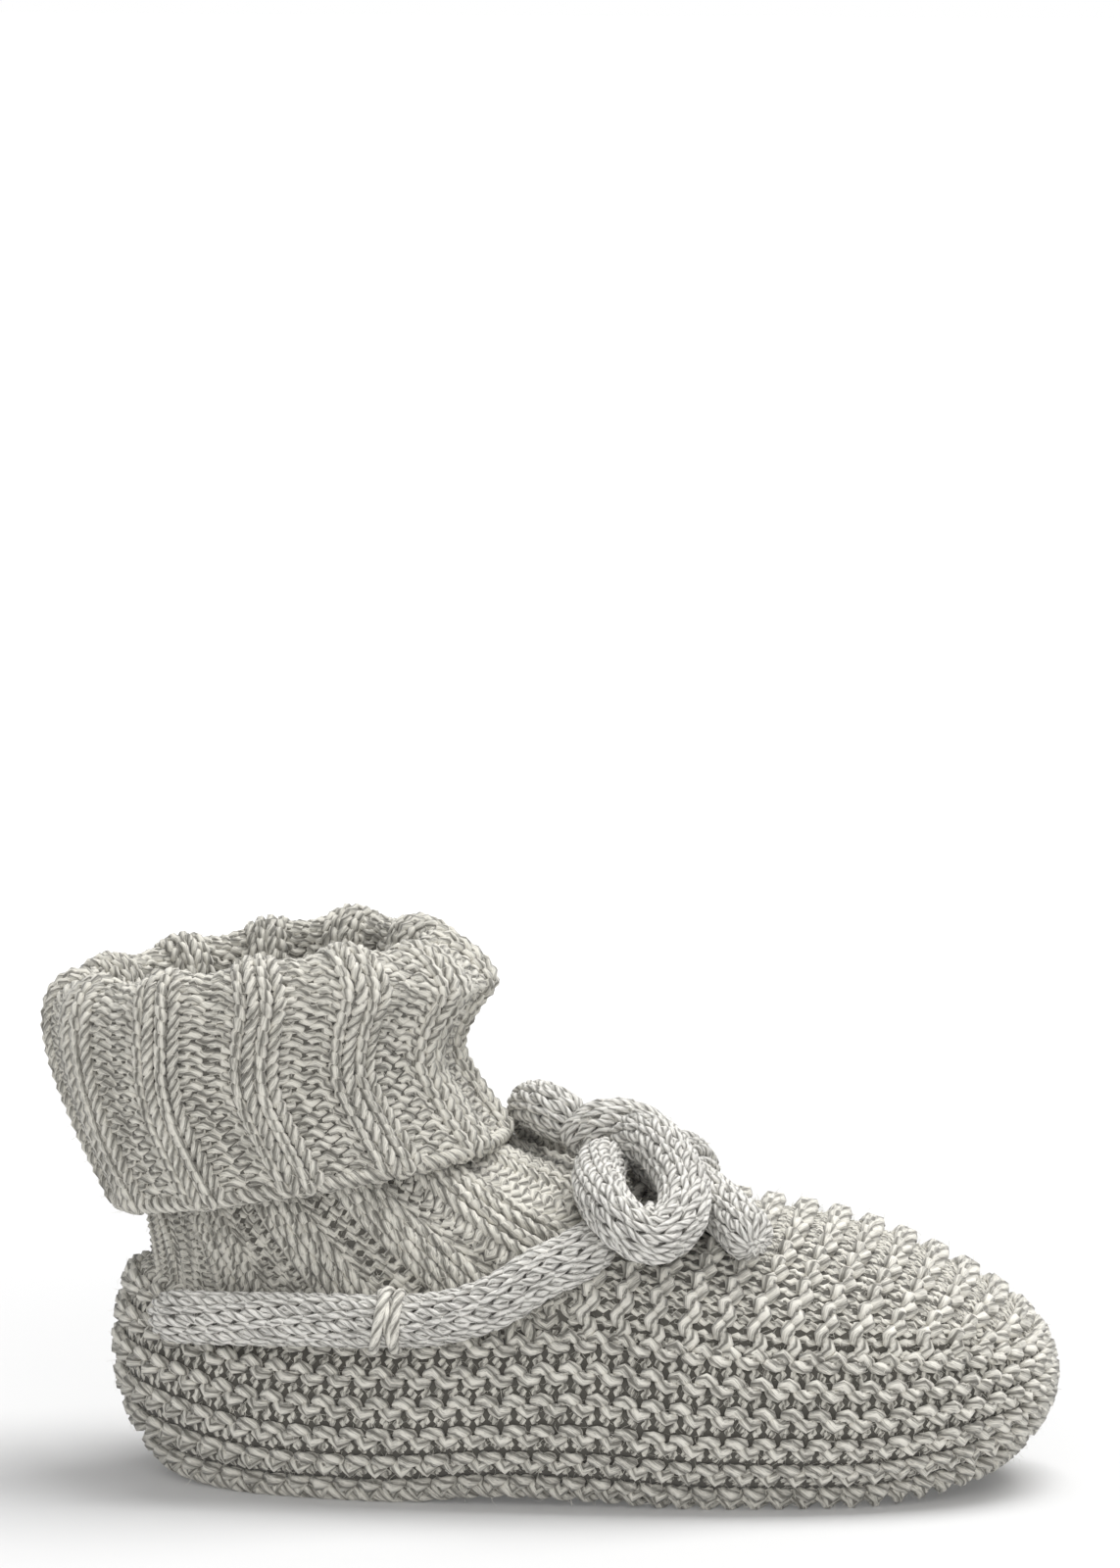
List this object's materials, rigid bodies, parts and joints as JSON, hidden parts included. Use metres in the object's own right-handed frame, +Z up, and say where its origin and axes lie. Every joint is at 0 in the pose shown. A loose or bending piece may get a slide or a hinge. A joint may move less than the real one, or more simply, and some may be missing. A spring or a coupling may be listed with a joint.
{
  "type": "baby bootie slipper",
  "caption": "Knitted baby bootie with a garter stitch foot, ribbed shaft, turned-down ribbed cuff and tied cord drawstring.",
  "frame": {"origin": "on the floor under the middle of the shoe, measured without the bow", "axes": "+X from heel to toe, +Z up, so -Y is the side that the picture shows"},
  "size_m": [0.1246, 0.0562, 0.0679],
  "materials": {
    "garter_yarn": "matte marl grey yarn in garter stitch",
    "rib_yarn": "matte marl grey yarn in two by two rib",
    "cord_yarn": "matte marl grey yarn in a round knitted cord"
  },
  "bodies": {
    "root": {"sole": "garter_yarn", "upper": "garter_yarn", "shaft": "rib_yarn", "cuff": "rib_yarn", "drawstring_near": "cord_yarn", "drawstring_far": "cord_yarn", "cord_loop_near": "cord_yarn", "cord_loop_far": "cord_yarn", "bow_knot": "cord_yarn", "bow_loop_near": "cord_yarn", "bow_loop_far": "cord_yarn", "bow_end_near": "cord_yarn", "bow_end_far": "cord_yarn"}
  },
  "joints": []
}
